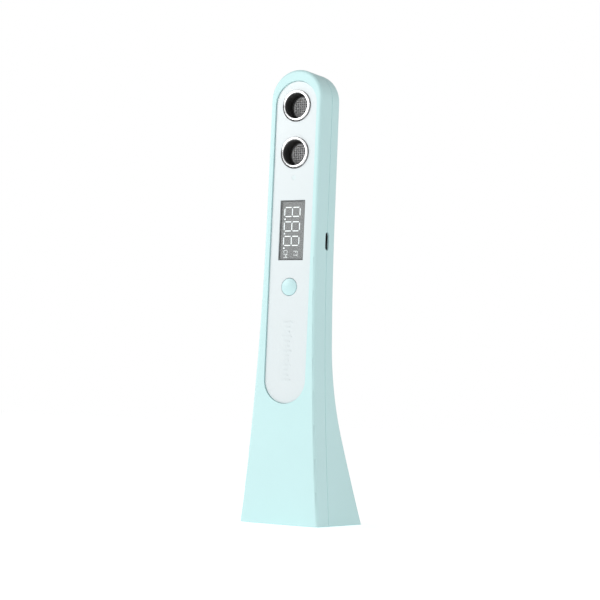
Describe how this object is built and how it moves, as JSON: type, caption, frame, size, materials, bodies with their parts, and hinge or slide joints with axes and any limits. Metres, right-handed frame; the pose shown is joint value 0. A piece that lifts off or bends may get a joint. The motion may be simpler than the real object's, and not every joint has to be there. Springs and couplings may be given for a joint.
{
  "type": "ultrasonic height meter",
  "caption": "Slim handheld ultrasonic height meter: flared casing in two shells, sound horns with bright rings, three-digit display, push button and charging port.",
  "frame": {"origin": "middle of the base's footprint, on the face it stands on", "axes": "+Z from the base to the round top, -Y out of the face with the display, +X the side with the charging port"},
  "size_m": [0.0456, 0.0468, 0.228],
  "materials": {
    "shell_mint": "fine moulded texture",
    "panel_pale": "smooth satin",
    "button_mint": "satin",
    "bright_ring": "polished plating",
    "black_sleeve": "matte black",
    "can_metal": "drawn",
    "steel_mesh": "woven wire",
    "cone_metal": "spun",
    "piezo_brass": "plain",
    "black_base": "matte",
    "tinned_pins": "tinned",
    "board_green": "solder mask",
    "chip_black": "moulded",
    "clear_lens": "clear polycarbonate",
    "black_foam": "closed-cell foam",
    "digit_white": "lit diffuser",
    "display_grey": "printed face",
    "switch_metal": "stamped",
    "plunger_plastic": "matte",
    "port_steel": "nickel plated",
    "cell_foil": "foil pouch",
    "lead_red": "wire insulation",
    "lead_black": "wire insulation",
    "screw_steel": "zinc plated",
    "pad_silicone": "soft silicone",
    "adhesive_film": "transfer tape"
  },
  "bodies": {
    "casing": {"base_pad": "pad_silicone", "battery_cell": "cell_foil", "battery_connector": "black_base", "battery_foam": "black_foam", "battery_lead_black": "lead_black", "battery_lead_red": "lead_red", "board_parts": "chip_black", "case_screws": "screw_steel", "charger_chip": "chip_black", "control_chip": "chip_black", "display_gasket": "black_foam", "display_housing": "display_grey", "display_lens": "clear_lens", "display_segments": "digit_white", "face_panel": "panel_pale", "front_shell": "shell_mint", "indicator_led": "digit_white", "indicator_lens": "clear_lens", "main_board": "board_green", "panel_adhesive": "adhesive_film", "port_shell": "port_steel", "port_tongue": "black_base", "rear_shell": "shell_mint", "receiver_base": "black_base", "receiver_bezel_ring": "bright_ring", "receiver_can": "can_metal", "receiver_cone": "cone_metal", "receiver_horn_sleeve": "black_sleeve", "receiver_mesh": "steel_mesh", "receiver_piezo": "piezo_brass", "receiver_pins": "tinned_pins", "sensor_board": "board_green", "sensor_harness": "lead_black", "switch_body": "black_base", "switch_cover": "switch_metal", "switch_dome": "switch_metal", "transmitter_base": "black_base", "transmitter_bezel_ring": "bright_ring", "transmitter_can": "can_metal", "transmitter_cone": "cone_metal", "transmitter_horn_sleeve": "black_sleeve", "transmitter_mesh": "steel_mesh", "transmitter_piezo": "piezo_brass", "transmitter_pins": "tinned_pins"},
    "button": {"button_cap": "button_mint"},
    "plunger": {"switch_plunger": "plunger_plastic"}
  },
  "joints": [
    {"name": "button_press", "type": "slide", "parent": "casing", "child": "button", "axis": [0, 1, 0], "range_m": [0, 0.0003], "stiffness_N_per_m": 6000},
    {"name": "plunger_travel", "type": "slide", "parent": "casing", "child": "plunger", "axis": [0, 1, 0], "range_m": [0, 0.0003], "deforming": ["switch_dome"]}
  ],
  "couplings": [
    {"joint": "plunger_travel", "follows": "button_press", "ratio": 1}
  ]
}
